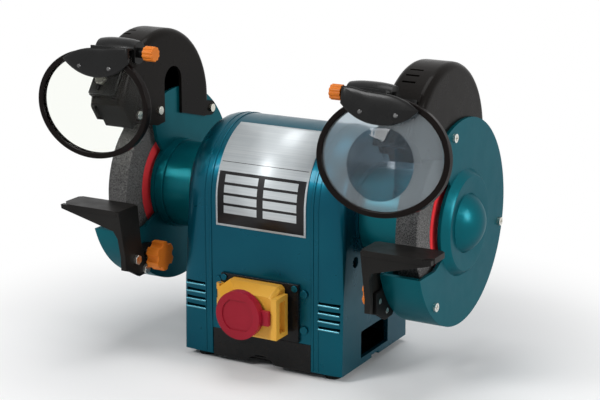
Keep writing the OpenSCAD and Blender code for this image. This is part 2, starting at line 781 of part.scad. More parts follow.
module shroud_screws() color("#b9bcbf") for (side = [LEFT, RIGHT]) at_side(side) {
    // bolts and nuts through the guard's wall
    for (at = [shroud_bolt, shroud_tab]) {
        rod_x([shroud_x - 2.2, guard_in + 6], screw_r, at);
        rod_x([shroud_x - 2.2, shroud_x], screw_head_r, at);
        hex_x([guard_in, guard_in + 4], bolt_af, at);
    }
    // screw that clamps the spark deflector
    rod_x([shroud_x - 2.2, guard_x + deflector_t + 2], screw_r, deflector_screw);
    rod_x([shroud_x - 2.2, shroud_x], screw_head_r, deflector_screw);
    // bolt that clamps the eye shield's arm
    pad_frame(side) translate([wheel_x, pad_bolt_t, 0]) {
        translate([0, 0, pad_bolt_in]) cylinder(h = pad_n + arm_t + 2 - pad_bolt_in, r = pad_bolt_r);
        translate([0, 0, pad_n + slip + arm_t + slip]) cylinder(h = 3.5, d = 10 / cos(30), $fn = 6);
    }
}

/* Spark deflectors */

module deflector(side) color("#2a2b2c") at_side(side) difference() {
    union() {
        along_x([guard_x + deflector_gap, cover_x - shroud_t - deflector_gap])
            deflector_strip(0, deflector_t);
        along_x([guard_x + deflector_gap, guard_x + deflector_gap + deflector_t])
            deflector_strip(0, deflector_ear);
    }
    along_x([guard_x, guard_x + deflector_t + 2 * over]) deflector_plane()
        slot([deflector_slot - deflector_travel, deflector_screw_in], [deflector_slot, deflector_screw_in],
             screw_r + slip);
}

// Brings an outline into the deflector's plane: x runs down along it, y runs back from its face.
module deflector_plane() translate(deflector_top) rotate(deflector_lean) children();

module deflector_strip(from, to) deflector_plane() translate([0, from]) square([deflector_len, to - from]);

/* Eye shields */

function visor_up(side) = side == LEFT ? visor_left_up : visor_right_up;
function visor_lean(side) = side == LEFT ? visor_left_lean : visor_right_lean;
function hinge_yz(side) = shroud_at(side) + hinge_n * pad_dir + visor_up(side) * up_dir;

// Brings parts into a window's frame: y up the window, z out of its face, from its centre.
module visor_frame(side) at_side(side) translate([wheel_x, hinge_yz(side)[0], hinge_yz(side)[1]])
    rotate([90 - visor_lean(side), 0, 0]) translate([0, -hinge_up, hinge_back]) children();

module visor_arm(side) color("#1b1b1c") at_side(side) pad_frame(side) translate([0, visor_up(side), 0])
    difference() {
        union() {
            translate([arm_x[0], slot_top - visor_travel - 6, pad_n + slip])
                cube([arm_x[1] - arm_x[0], visor_travel + 13 - slot_top, arm_t]);
            translate([web_x, -barrel_r, pad_n + slip])
                cube([web_w, 2 * barrel_r, hinge_n - pad_n - slip]);
            rod_x(barrel_x, barrel_r, [0, hinge_n]);
        }
        rod_x([barrel_x[0] - over, barrel_x[1] + over], hinge_r + fit, [0, hinge_n]);
        translate([0, 0, pad_n]) linear_extrude(arm_t + 1)
            slot([wheel_x, slot_top - visor_travel], [wheel_x, slot_top], pad_bolt_r + slip);
    }

module visor_rim(side) color("#1d1512") visor_frame(side) difference() {
    translate([0, 0, -visor_rim_d / 2]) linear_extrude(visor_rim_d) polygon(oval(visor_a, visor_b));
    translate([0, 0, -visor_rim_d]) linear_extrude(2 * visor_rim_d)
        polygon(oval(visor_a - visor_rim_w, visor_b - visor_rim_w));
    translate([0, 0, -visor_t / 2]) linear_extrude(visor_t)
        polygon(oval(visor_a - visor_rim_w + groove, visor_b - visor_rim_w + groove));
}

module visor_window(side) color("#c8d4d4", 0.35) visor_frame(side) difference() {
    translate([0, 0, -visor_t / 2]) linear_extrude(visor_t)
        polygon(oval(visor_a - visor_rim_w + groove, visor_b - visor_rim_w + groove));
    at_rivets() translate([0, 0, -visor_t]) cylinder(h = 2 * visor_t, r = rivet_r);
}

module at_rivets() for (x = [-rivet_x, rivet_x]) translate([x - leaf_mid, rivet_y, 0]) children();

module magnifier() color("#9fb4b8", 0.35) visor_frame(RIGHT)
    translate([magnifier_at[0], magnifier_at[1], visor_t / 2]) rotate_extrude()
        polygon(concat(cap(magnifier_r, magnifier_h), [[0, 0]]));

module visor_bracket(side) color("#1b1b1c") visor_frame(side) difference() {
    union() {
        translate([0, 0, visor_rim_d / 2 + leaf_gap]) linear_extrude(leaf_t) {
            leaf_outline();
            translate([-bracket_in, hinge_up - 7]) square([bracket_in - bracket_out, 12.5]);
        }
        at_rivets() translate([0, 0, visor_t / 2])
            cylinder(h = leaf_front - leaf_t / 2 - visor_t / 2, r = rivet_boss_r);
        // roof over the rim, then the curved hood over the hinge
        translate([-bracket_in, hinge_up + roof_up, roof_back - hinge_back])
            cube([bracket_in - bracket_out, roof_t, hinge_back - roof_back + leaf_front]);
        along_x([-bracket_in, -bracket_out]) translate([hinge_up, -hinge_back]) intersection() {
            difference() {
                circle(hood_r);
                circle(hood_r - hood_t);
            }
            sector(-25, 62);
        }
        for (x = [-bracket_in, -bracket_out - ear_t])
            along_x([x, x + ear_t]) translate([hinge_up, -hinge_back]) difference() {
                circle(hood_r);
                translate([roof_up - 20, hinge_back - visor_rim_d / 2 - 0.6]) square(20);
            }
    }
    rod_x([-bracket_in - over, over - bracket_out], hinge_r + fit, [hinge_up, -hinge_back]);
    at_rivets() cylinder(h = 2 * leaf_front, r = rivet_r);
}

// A leaf between two arcs, wider than the hinge.
module leaf_outline() intersection() {
    translate([-leaf_mid, leaf_low + leaf_low_r]) circle(leaf_low_r);
    translate([-leaf_mid, hinge_up + 3 - leaf_top_r]) circle(leaf_top_r);
}

module visor_rivets(side) color("#3a3a3c") visor_frame(side) at_rivets() {
    translate([0, 0, -visor_t / 2 - 1.2]) cylinder(h = 1.2, r = rivet_head_r);
    translate([0, 0, -visor_t / 2]) cylinder(h = visor_t / 2 + leaf_front, r = rivet_r);
    translate([0, 0, leaf_front]) cylinder(h = 1, r1 = rivet_head_r, r2 = 2.4);
}

module tilt_knob(side) color("#e8822a") visor_frame(side)
    translate([0, hinge_up, -hinge_back]) rotate([0, -90, 0]) {
        // hinge screw with its head on the outer ear
        cylinder(h = tilt_knob_at + 4, r = hinge_r);
        translate([0, 0, bracket_out - 3]) cylinder(h = 3 - ear_gap / 2, r = hinge_r + 2);
        difference() {
            translate([0, 0, tilt_knob_at]) cylinder(h = tilt_knob_len, r = small_knob_r);
            for (a = [0:36:324]) rotate(a) translate([small_knob_r + 0.7, 0, tilt_knob_at - over])
                cylinder(h = tilt_knob_len + 2 * over, r = 1.4);
        }
        translate([0, 0, bracket_in + ear_gap / 2])
            cylinder(h = tilt_knob_at - bracket_in, r = hinge_r + 1.4);
    }

/* Tool rests */

module tool_rest(side) color("#39393a") at_side(side) difference() {
    union() {
        translate([0, 0, rest_z - rest_t]) linear_extrude(rest_t) table_outline();
        intersection() {
            along_x([leg_in, leg_in + rest_len]) apron_side();
            along_y([rest_front_y - over, rest_back_y]) apron_front();
        }
        along_x([leg_in, leg_face]) leg_side();
    }
    for (at = rest_bolt_yz) rod_x([leg_in - over, leg_face + over], rest_bolt_r, at);
}

// The table from above, with cut corners.
module table_outline(cut = 3) polygon([
    [leg_in, rest_front_y + cut], [leg_in + cut, rest_front_y],
    [leg_in + rest_len - 8, rest_front_y], [leg_in + rest_len, rest_front_y + 8],
    [leg_in + rest_len, rest_back_y - cut], [leg_in + rest_len - cut, rest_back_y],
    [leg_in + cut, rest_back_y], [leg_in, rest_back_y - cut]]);

// The apron under the table's front edge: its side view, and its front view narrowing to the leg.
module apron_side() polygon([
    [rest_front_y, rest_z], [leg_low[0], leg_low[1] + 12], leg_low, leg_low + [apron_t, 0],
    leg_low + [apron_t, 12], [rest_front_y + apron_t, rest_z - 1]]);

module apron_front() polygon([
    [leg_in, rest_z - 1], [leg_in + rest_len, rest_z - 1], [leg_in + rest_len, rest_z - rest_t],
    [leg_in + 24, rest_z - 16], [leg_in + 9, rest_z - 20], [leg_in + 5.5, rest_z - 27],
    [leg_in + 5, leg_low[1]], [leg_in, leg_low[1]]]);

module leg_side() polygon([
    [rest_front_y, rest_z - 1], leg_low + [0, 12], leg_low, low_bolt + [-2, -5], low_bolt + [4, -3],
    low_bolt + [3, 4.5], [rest_back_y + 4, rest_z - 36], [rest_back_y, rest_z - 1]]);

module rest_arm(side) color("#2b2c2d") at_side(side) difference() {
    along_x([leg_face, arm_face]) polygon([
        high_bolt + [-8, -9], high_bolt + [-8, 9], high_bolt + [6, 10], [knob_y, knob_z + 10],
        [knob_y + rest_back, knob_z + 8], [knob_y + rest_back + 6, knob_z],
        [knob_y + rest_back, knob_z - 8], [knob_y, knob_z - 18], low_bolt + [-4, -7]]);
    along_x([leg_face - over, arm_face + over])
        slot([knob_y - rest_in, knob_z], [knob_y + rest_back, knob_z], stud_r + 0.3);
    for (at = rest_bolt_yz) rod_x([leg_face - over, arm_face + over], rest_bolt_r, at);
}

module rest_bolts(side) color("#b9bcbf") at_side(side) for (at = rest_bolt_yz) {
    rod_x([leg_in, arm_face - slip], rest_bolt_r, at);
    hex_x([leg_in - bolt_head_t, leg_in], bolt_af, at);
}

module rest_knob(side) color("#e8822a") at_side(side) {
    rod_x([knob_x + 2, guard_in + stud_out], stud_r, [knob_y, knob_z]);
    rod_x([knob_x + knob_len - over, leg_face - slip], collar_r, [knob_y, knob_z]);
    difference() {
        rod_x([knob_x, knob_x + knob_len], knob_r, [knob_y, knob_z]);
        for (a = [0:60:300]) rod_x([knob_x - over, knob_x + knob_len + over], knob_r * 0.28,
            [knob_y + 1.08 * knob_r * cos(a), knob_z + 1.08 * knob_r * sin(a)]);
    }
}

/* Switch */

module switch_plate() color("#1b1b1c") difference() {
    union() {
        along_y([plate_y, front_y]) translate([-plate_w / 2, plate_z]) square([plate_w, plate_h]);
        for (span = fixed_knuckles) knuckle(span);
    }
    along_y([plate_y - over, front_y + over])
        translate([-switch_w / 2, plate_mid_z - switch_h / 2]) square([switch_w, switch_h]);
    for (at = plate_screw_at) rod_y([plate_y - over, front_y + over], plate_screw_r, at);
    translate([pin_x, pin_y, lid_z[0]]) cylinder(h = lid_h, r = pin_r);
}

// A hinge knuckle between two heights, joined to what lies behind it.
module knuckle(span) translate([pin_x, pin_y, span[0]]) linear_extrude(span[1] - span[0]) {
    circle(knuckle_r);
    translate([-knuckle_r, 0]) square([2 * knuckle_r, plate_y - pin_y]);
}

module switch_body() color("#2f3133") difference() {
    along_y([plate_y - switch_out, front_y + switch_in])
        translate([-switch_w / 2, plate_mid_z - switch_h / 2]) square([switch_w, switch_h]);
    for (x = [-button_x, button_x])
        rod_y([plate_y - switch_out - over, plate_y], button_r + slip, [x, plate_mid_z]);
}

module button(x)
    rod_y([plate_y - switch_out - button_out, plate_y - press - 0.5], button_r, [x, plate_mid_z]);
module start_button() color("#2e8b3d") button(-button_x);
module stop_button() color("#c1272d") button(button_x);

// Solid of the lid, or its hollow when it is given a wall.
module lid_form(wall) hull() {
    along_y([lid_back - 8, lid_back + (wall > 0 ? over : 0)]) lid_outline(wall, wall, wall, 0);
    along_y([lid_front + 2 + wall, lid_front + 2 + wall + slice_t])
        lid_outline(wall + 11.5, wall, wall + 5.5, 0);
    along_y([lid_front + wall, lid_front + wall + slice_t])
        lid_outline(wall + 13, wall + 2, wall + 6, 2);
}

// The lid from the front, drawn in on its left, its right, its top and its bottom.
module lid_outline(left, right, top, bottom) polygon([
    [lid_x[0] + left, lid_z[0] + 3 + bottom], [lid_x[0] + left + 3, lid_z[0] + bottom],
    [lid_x[1] - right - 3, lid_z[0] + bottom], [lid_x[1] - right, lid_z[0] + 3 + bottom],
    [lid_x[1] - right, lid_z[1] - top - 3], [lid_x[1] - right - 3, lid_z[1] - top],
    [lid_x[0] + left + 13, lid_z[1] - top], [lid_x[0] + left, lid_z[1] - top - 10]]);

module switch_lid() color("#e3b24a") difference() {
    union() {
        difference() {
            lid_form(0);
            lid_form(lid_t);
            // clear of the fixed knuckles
            for (span = fixed_knuckles)
                translate([pin_x - knuckle_r - 1, pin_y - knuckle_r - 1, span[0] - slip])
                    cube([2 * knuckle_r + 2, 20, span[1] - span[0] + 2 * slip]);
        }
        for (span = knuckles) translate([pin_x, pin_y, span[0]]) linear_extrude(span[1] - span[0]) {
            circle(knuckle_r);
            translate([0.2, -knuckle_r - 1]) square([lid_t - 0.4, knuckle_r + 1]);
        }
        // finger loop on the free edge
        along_x([lid_x[1] - 0.5, lid_x[1] + loop_t]) difference() {
            translate([lid_front - 3, lid_z[0] + 2]) square([lid_d - 1, lid_h - 8]);
            translate([lid_front + 2.5, lid_z[0] + 6.5]) square([lid_d - 11, lid_h - 17]);
        }
    }
    translate([pin_x, pin_y, 0]) cylinder(h = 200, r = pin_r + fit);
    rod_y([lid_front - over, lid_front + lid_t + over], disc_stem_r + fit, disc_at);
}

module lid_pin() color("#b9bcbf") translate([pin_x, pin_y, fixed_knuckles[0][0]])
    cylinder(h = knuckles[1][1] - fixed_knuckles[0][0], r = pin_r);

module stop_disc() color("#a8202a") difference() {
    union() {
        rod_y([disc_y - disc_t, disc_y], disc_r, disc_at);
        rod_y([disc_y - over, lid_front + lid_t + 1.5], disc_stem_r, disc_at);
        // tab to the lid's free edge
        translate([disc_at[0], disc_y - tab_t, disc_at[1] - tab_h / 2])
            cube([lid_x[1] - 1 - disc_at[0], tab_t, tab_h]);
    }
    // D-shaped recess
    along_y([disc_y - disc_t - over, disc_y - disc_t + 1.2]) translate(disc_at) intersection() {
        circle(disc_r - 6);
        translate([-disc_r, -disc_r + 8]) square([2 * disc_r, 2 * disc_r - 16]);
    }
}

module panel_screws() color("#b9bcbf") {
    for (at = panel_screw_at) {
        rod_y([front_y - 2, front_y + shell_t + 3], screw_r, at);
        rod_y([front_y - 2, front_y], screw_head_r, at);
    }
    for (at = plate_screw_at) {
        rod_y([plate_y - 1.6, front_y], plate_screw_r, at);
        rod_y([plate_y - 1.6, plate_y], plate_screw_head_r, at);
    }
}

/* Coolant tray */

module coolant_tray() color("#1b1c1d") {
    // front with a finger notch
    along_y([front_y, front_y + tray_front_t]) difference() {
        translate([-tray_half, tray_front_z]) square([2 * tray_half, tray_front_h]);
        translate([-1, tray_front_z]) intersection() {
            translate([0, -12]) circle(19);
            translate([-20, -over]) square([40, 20]);
        }
    }
    difference() {
        translate([-tray_half + 3, front_y + tray_front_t, tray_floor])
            cube([2 * tray_half - 6, tray_back - front_y - tray_front_t, tray_h]);
        translate([-tray_half + 3 + tray_t, front_y + tray_front_t - over, tray_floor + tray_t])
            cube([2 * (tray_half - 3 - tray_t), tray_back - front_y - tray_front_t - tray_t + over, tray_h]);
    }
}

motor_shell();
end_casting(LEFT);  // end_casting_left
end_casting(RIGHT);  // end_casting_right
base_plate();
feet();
stator_core();
windings();
bearings();
capacitor();
data_plate();
switch_plate();
switch_body();
panel_screws();
cord_gland();
guard(LEFT);  // guard_left
guard(RIGHT);  // guard_right
cover(LEFT);  // cover_left
cover(RIGHT);  // cover_right
cover_screws();
shroud(LEFT);  // shroud_left
shroud(RIGHT);  // shroud_right
shroud_screws();
spindle();
rotor_core();
fan();
wheel(LEFT);  // wheel_left
wheel(RIGHT);  // wheel_right
blotters();
wheel_flanges();
spindle_nuts();
coolant_tray();
switch_lid();
lid_pin();
stop_disc();
start_button();
stop_button();
tool_rest(LEFT);  // tool_rest_left
tool_rest(RIGHT);  // tool_rest_right
rest_arm(LEFT);  // rest_arm_left
rest_arm(RIGHT);  // rest_arm_right
rest_bolts(LEFT);  // rest_bolts_left
rest_bolts(RIGHT);  // rest_bolts_right
rest_knob(LEFT);  // rest_knob_left
rest_knob(RIGHT);  // rest_knob_right
visor_arm(LEFT);  // visor_arm_left
visor_arm(RIGHT);  // visor_arm_right
visor_rim(LEFT);  // visor_rim_left
visor_rim(RIGHT);  // visor_rim_right
visor_window(LEFT);  // visor_window_left
visor_window(RIGHT);  // visor_window_right
magnifier();
visor_bracket(LEFT);  // visor_bracket_left
visor_bracket(RIGHT);  // visor_bracket_right
visor_rivets(LEFT);  // visor_rivets_left
visor_rivets(RIGHT);  // visor_rivets_right
tilt_knob(LEFT);  // tilt_knob_left
tilt_knob(RIGHT);  // tilt_knob_right
deflector(LEFT);  // deflector_left
deflector(RIGHT);  // deflector_right
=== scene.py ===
import json
import math

import bmesh
import bpy
from mathutils import Euler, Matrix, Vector

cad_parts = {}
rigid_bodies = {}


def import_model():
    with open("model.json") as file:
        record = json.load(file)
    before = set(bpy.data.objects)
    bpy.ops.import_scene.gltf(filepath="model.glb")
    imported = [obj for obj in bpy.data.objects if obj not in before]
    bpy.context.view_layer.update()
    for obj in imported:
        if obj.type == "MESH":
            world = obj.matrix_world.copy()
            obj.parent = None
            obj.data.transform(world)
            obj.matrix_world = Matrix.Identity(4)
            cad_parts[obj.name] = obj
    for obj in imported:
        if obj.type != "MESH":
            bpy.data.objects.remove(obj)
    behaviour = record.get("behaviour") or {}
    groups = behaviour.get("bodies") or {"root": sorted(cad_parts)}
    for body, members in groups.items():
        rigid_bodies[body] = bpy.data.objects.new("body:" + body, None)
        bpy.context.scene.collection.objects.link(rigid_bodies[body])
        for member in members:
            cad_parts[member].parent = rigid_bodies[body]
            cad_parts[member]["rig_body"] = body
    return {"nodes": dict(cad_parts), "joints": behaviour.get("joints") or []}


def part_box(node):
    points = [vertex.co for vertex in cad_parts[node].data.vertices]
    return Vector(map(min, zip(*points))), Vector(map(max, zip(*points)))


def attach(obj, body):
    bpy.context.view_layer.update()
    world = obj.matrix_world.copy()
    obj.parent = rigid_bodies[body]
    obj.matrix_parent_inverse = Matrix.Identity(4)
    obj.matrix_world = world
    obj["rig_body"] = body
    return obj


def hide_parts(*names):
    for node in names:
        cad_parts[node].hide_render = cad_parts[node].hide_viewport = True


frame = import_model()
nodes = frame["nodes"]
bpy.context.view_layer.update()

MM = 0.001
SIDES = {"left": -1, "right": 1}
# points closer than this are one, and faces within this angle of each other are joined
MERGE = 0.01
FLAT_ANGLE = 1.5
# the body's arch: its axis and radius
ARCH_Z = 149.2
BODY_R = 65.1
# beads along the body: distance from the middle, width and how proud they stand
SEAM_FOOT = 7.0
SEAM_STEPS = 48
BEADS = {"seam_": (50.2, 2.4, 0.7), "step_": (56.6, 1.0, 0.45)}
BEAD_ROOT = 0.4
BEAD_ROUND = 0.7
# data plate: it lies between two radii, from its foot to an angle short of the arch's top
PLATE_HALF = 45.0
PLATE_FOOT = 127.3
PLATE_SHORT = 18.8
PLATE_STEPS = 36
PLATE_GAP = 0.05
PLATE_FACE = 0.8
# print on the plate, as shares of its width and height
PRINT_FIELD = ((0.018, 0.982), (0.018, 0.475))
PRINT_COLUMNS = ((0.09, 0.46), (0.53, 0.9))
PRINT_ROWS = (0.115, 0.204, 0.293, 0.382)
PRINT_ROW_HIGH = 0.066
PRINT_RULE = ((0.02, 0.98), (0.556, 0.561))
# ventilation slots of an end casting
VENT_ROWS = 4
VENT_Z = 47.5
VENT_PITCH = 7.3
VENT_LEN = 20.6
VENT_MIDDLE = 67.5
VENT_LIP_R = 0.95
VENT_LIP_DROP = 0.7
# eye shields: the wheel's distance, the backward lean, and the hinge and leaf in a shield's frame
WHEEL_X = 144.2
VISOR_LEAN = {"left": 2.5, "right": 12.5}
HINGE_UP = 47.0
HINGE_BACK = 11.0
LEAF_MIDDLE = (-5.5, 37.6)
LEAF_ARCS = ((73.0, 48.5), (-7.8, 57.8))
LEAF_HALF = 34.3
LEAF_FRONT = 6.0
# part of the leaf's outline and height above its flat face, from the rim to the middle
CROWN = ((1.0, -0.3), (1.0, 0.35), (0.975, 0.8), (0.93, 1.15), (0.84, 1.5), (0.68, 1.85), (0.45, 2.1))
CROWN_TOP = 2.25
# rivet heads: their places, radius at the foot and top, height, and rise over the leaf
RIVETS = ((-21.2, 33.5), (10.2, 33.5))
RIVET_R = 2.6
RIVET_TOP_R = 1.5
RIVET_HIGH = 2.0
RIVET_RISE = 1.7
# the hood over the hinge: its span, radius and arc, and the radius its ends are drawn in to
HOOD_X = (-40.4, -0.6)
HOOD_R = 11.7
HOOD_ARC = (-25, 66)
HOOD_END_R = 9.9
# points this near the hood's radius are the hood's own
HOOD_BAND = 0.3
# its swelling shell: how far it stands over the ends' radius and reaches under it, and its curve
HOOD_SKIN = 0.1
HOOD_ROOT = 1
HOOD_SWELL = 2.6
HOOD_COLUMNS = 20
HOOD_ROWS = 14
# the leaf's upper edge rises over this span to the hood's end
LEAF_RISE_X = (-2.0, -32.0)
LEAF_RISE_TOP = 52.6
# how far from the middle the clamp knobs end and their screws begin
TILT_KNOB_X = 97.4
REST_KNOB_X = 116.0
# how far out the clear round behind the lens begins to end, as a share of its radius
CLEAR_EDGE = 0.97
# camera, lamps and floor, in metres, and the lens in millimetres
CAMERA_PLACE = (0.7002, -1.2546, 0.5227)
CAMERA_AIM = (0.00307, 0, 0.1405)
CAMERA_LENS = 98.99
CAMERA_SENSOR = 36
LIT_POINT = (0, 0, 0.14)
FLOOR_SIZE = 30
SHADOW_REACH = (0.16, 0.4)


# ---------------------------------------------------------------- finishes


class Finish:
    """A material whose colour, gloss and surface vary across the piece."""

    def __init__(self, name, colour, roughness, metallic=0.0, coat=0.0, specular=0.3):
        self.material = bpy.data.materials.new(name)
        self.material.use_nodes = True
        self.tree = self.material.node_tree
        self.shader = self.tree.nodes["Principled BSDF"]
        self.colour = colour
        self.shader.inputs["Metallic"].default_value = metallic
        self.shader.inputs["Coat Weight"].default_value = coat
        self.shader.inputs["Coat Roughness"].default_value = 0.12
        self.shader.inputs["Specular IOR Level"].default_value = specular
        self.shader.inputs["Base Color"].default_value = (*colour, 1)
        self.shader.inputs["Roughness"].default_value = roughness
        self.roughness = roughness
        self.place = self.tree.nodes.new("ShaderNodeTexCoord").outputs["Object"]
        self.height = None

    def node(self, kind, **values):
        made = self.tree.nodes.new(kind)
        for key, value in values.items():
            setattr(made, key, value)
        return made

    def join(self, source, target):
        self.tree.links.new(source, target)

    def noise(self, scale, detail=3.0, rough=0.5, place=None):
        made = self.node("ShaderNodeTexNoise")
        made.inputs["Scale"].default_value = scale
        made.inputs["Detail"].default_value = detail
        made.inputs["Roughness"].default_value = rough
        self.join(place or self.place, made.inputs["Vector"])
        return made.outputs["Fac"]

    def spread(self, value, low, high, start=0.3, end=0.7):
        made = self.node("ShaderNodeMapRange")
        made.inputs["From Min"].default_value = start
        made.inputs["From Max"].default_value = end
        made.inputs["To Min"].default_value = low
        made.inputs["To Max"].default_value = high
        self.join(value, made.inputs["Value"])
        return made.outputs["Result"]

    def mix(self, factor, first, second):
        made = self.node("ShaderNodeMix", data_type="RGBA")
        self.join(factor, made.inputs["Factor"])
        for socket, value in ((made.inputs[6], first), (made.inputs[7], second)):
            if isinstance(value, tuple):
                socket.default_value = (*value, 1)
            else:
                self.join(value, socket)
        return made.outputs[2]

    def mottle(self, other, scale, start=0.35, end=0.65):
        """The colour wanders softly between the finish's own and another."""
        blend = self.spread(self.noise(scale), 0, 1, start, end)
        self.join(self.mix(blend, self.colour, other), self.shader.inputs["Base Color"])

    def polish(self, scale, amount):
        """Gloss that differs from place to place."""
        low, high = self.roughness - amount, self.roughness + amount
        self.join(self.spread(self.noise(scale), low, high), self.shader.inputs["Roughness"])

    def relief(self, scale, depth_mm, detail=3.0, strength=0.4):
        """Fine surface texture, added on top of any before it."""
        bump = self.node("ShaderNodeBump")
        bump.inputs["Strength"].default_value = strength
        bump.inputs["Distance"].default_value = depth_mm * MM
        self.join(self.noise(scale, detail), bump.inputs["Height"])
        if self.height:
            self.join(self.height, bump.inputs["Normal"])
        self.height = bump.outputs["Normal"]
        self.join(self.height, self.shader.inputs["Normal"])


def hammered_paint(
    name, colour, light, coat=0.14, edge=(1, 1, 1), metallic=0.7, roughness=0.32
):
    made = Finish(name, colour, roughness, metallic=metallic, coat=coat, specular=0.05)
    made.shader.inputs["Specular Tint"].default_value = (*edge, 1)
    made.mottle(light, 9)
    made.polish(60, 0.06)
    made.relief(700, 0.03, 1, 0.2)
    made.relief(90, 0.05, 1, 0.1)
    return made


def moulded(name, colour, light, roughness, coat=0.0, specular=0.3):
    made = Finish(name, colour, roughness, coat=coat, specular=specular)
    made.mottle(light, 14)
    made.polish(80, 0.05)
    made.relief(1900, 0.02, 2, 0.3)
    return made


def metal(name, colour, light, roughness):
    made = Finish(name, colour, roughness, metallic=1.0)
    made.mottle(light, 60)
    made.polish(300, 0.08)
    made.relief(900, 0.02, 3, 0.2)
    return made


def abrasive(name):
    made = Finish(name, (0.105, 0.1, 0.098), 0.9, specular=0.3)
    grain = made.spread(made.noise(1000, 4, 0.75), 0, 1, 0.4, 0.6)
    result = made.mix(grain, (0.018, 0.018, 0.019), (0.2, 0.195, 0.19))
    made.join(result, made.shader.inputs["Base Color"])
    made.relief(1300, 0.35, 4, 0.7)
    return made


def clear(name, colour, roughness, ior=1.46, haze=0.0, specular=0.1):
    made = Finish(name, colour, roughness, specular=specular)
    made.shader.inputs["Transmission Weight"].default_value = 1 - haze
    made.shader.inputs["IOR"].default_value = ior
    made.relief(40, 0.02, 1, 0.04)
    return made


def cleared_round(window, middle, reach):
    """The window is as clear as glass behind the lens that is set in it."""
    off = window.node("ShaderNodeVectorMath", operation="DISTANCE")
    window.join(window.place, off.inputs[0])
    off.inputs[1].default_value = middle
    outside = window.spread(off.outputs["Value"], 0, 1, reach * CLEAR_EDGE, reach)
    colour = window.mix(outside, (0.8, 0.85, 0.9), window.colour)
    window.join(colour, window.shader.inputs["Base Color"])
    for name, inside in (("Roughness", 0.0), ("Transmission Weight", 1.0)):
        socket = window.shader.inputs[name]
        window.join(window.spread(outside, inside, socket.default_value, 0, 1), socket)


teal = hammered_paint("teal_paint", (0.001, 0.064, 0.1), (0.002, 0.08, 0.115)).material
guard_paint = hammered_paint(
    "guard_teal", (0.001, 0.094, 0.118), (0.002, 0.11, 0.134),
    edge=(0.0, 0.4, 0.45), metallic=0.6, roughness=0.37,
)
guard_paint.shader.inputs["Coat Roughness"].default_value = 0.22
guard_teal = guard_paint.material
# a lighter teal for the vent lips: a painted highlight standing in for light caught on the slots'
# lower edges
worn_teal = hammered_paint("worn_teal", (0.07, 0.24, 0.3), (0.09, 0.28, 0.34)).material
black_paint = moulded(
    "black_paint", (0.0058, 0.0048, 0.0042), (0.0085, 0.007, 0.006), 0.3, coat=0.07, specular=0.03
).material
black_steel = moulded(
    "black_steel", (0.004, 0.004, 0.004), (0.007, 0.007, 0.007), 0.4, specular=0.05
).material
rivet_steel = metal("rivet_steel", (0.09, 0.09, 0.09), (0.14, 0.14, 0.14), 0.3).material
black_plastic = moulded(
    "black_plastic", (0.006, 0.006, 0.006), (0.01, 0.01, 0.01), 0.28, coat=0.08, specular=0.12
).material
rim_plastic = moulded(
    "rim_plastic", (0.0045, 0.003, 0.0026), (0.007, 0.0046, 0.004), 0.22, coat=0.06, specular=0.04
).material
rubber = moulded("rubber", (0.01, 0.01, 0.01), (0.016, 0.016, 0.016), 0.75, specular=0.1).material
yellow = moulded("yellow_plastic", (0.7, 0.33, 0.03), (0.76, 0.4, 0.05), 0.4).material
red = moulded(
    "red_plastic", (0.27, 0.008, 0.02), (0.33, 0.012, 0.028), 0.36, specular=0.15
).material
green = moulded("green_plastic", (0.03, 0.3, 0.08), (0.05, 0.34, 0.1), 0.4).material
orange = moulded(
    "orange_plastic", (0.66, 0.16, 0.012), (0.74, 0.21, 0.02), 0.4, specular=0.2
).material
cast_dark = moulded(
    "cast_dark", (0.007, 0.0065, 0.006), (0.013, 0.012, 0.011), 0.4, specular=0.1
).material
red_card = moulded("red_card", (0.95, 0.045, 0.055), (0.98, 0.06, 0.07), 0.4).material
zinc = metal("zinc", (0.62, 0.6, 0.52), (0.72, 0.72, 0.68), 0.3).material
steel = metal("steel", (0.5, 0.5, 0.51), (0.6, 0.6, 0.62), 0.28).material
lamination = metal("lamination", (0.3, 0.3, 0.31), (0.36, 0.36, 0.37), 0.5).material
copper = metal("copper", (0.55, 0.26, 0.12), (0.62, 0.32, 0.16), 0.35).material
aluminium_can = metal("aluminium_can", (0.65, 0.65, 0.66), (0.72, 0.72, 0.73), 0.35).material
grit = abrasive("abrasive").material
left_window = clear("clear_window", (0.96, 0.975, 0.93), 0.01, ior=1.15).material
tinted = clear("tinted_window", (0.55, 0.63, 0.68), 0.08, haze=0.14, specular=0.5)
lens_low, lens_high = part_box("magnifier")
lens_middle = [(a + b) / 2 for a, b in zip(lens_low, lens_high)]
cleared_round(tinted, lens_middle, (lens_high[0] - lens_low[0]) / 2)
right_window = tinted.material
lens = clear("magnifier_glass", (0.62, 0.7, 0.76), 0.02, ior=1.22, specular=0.25).material


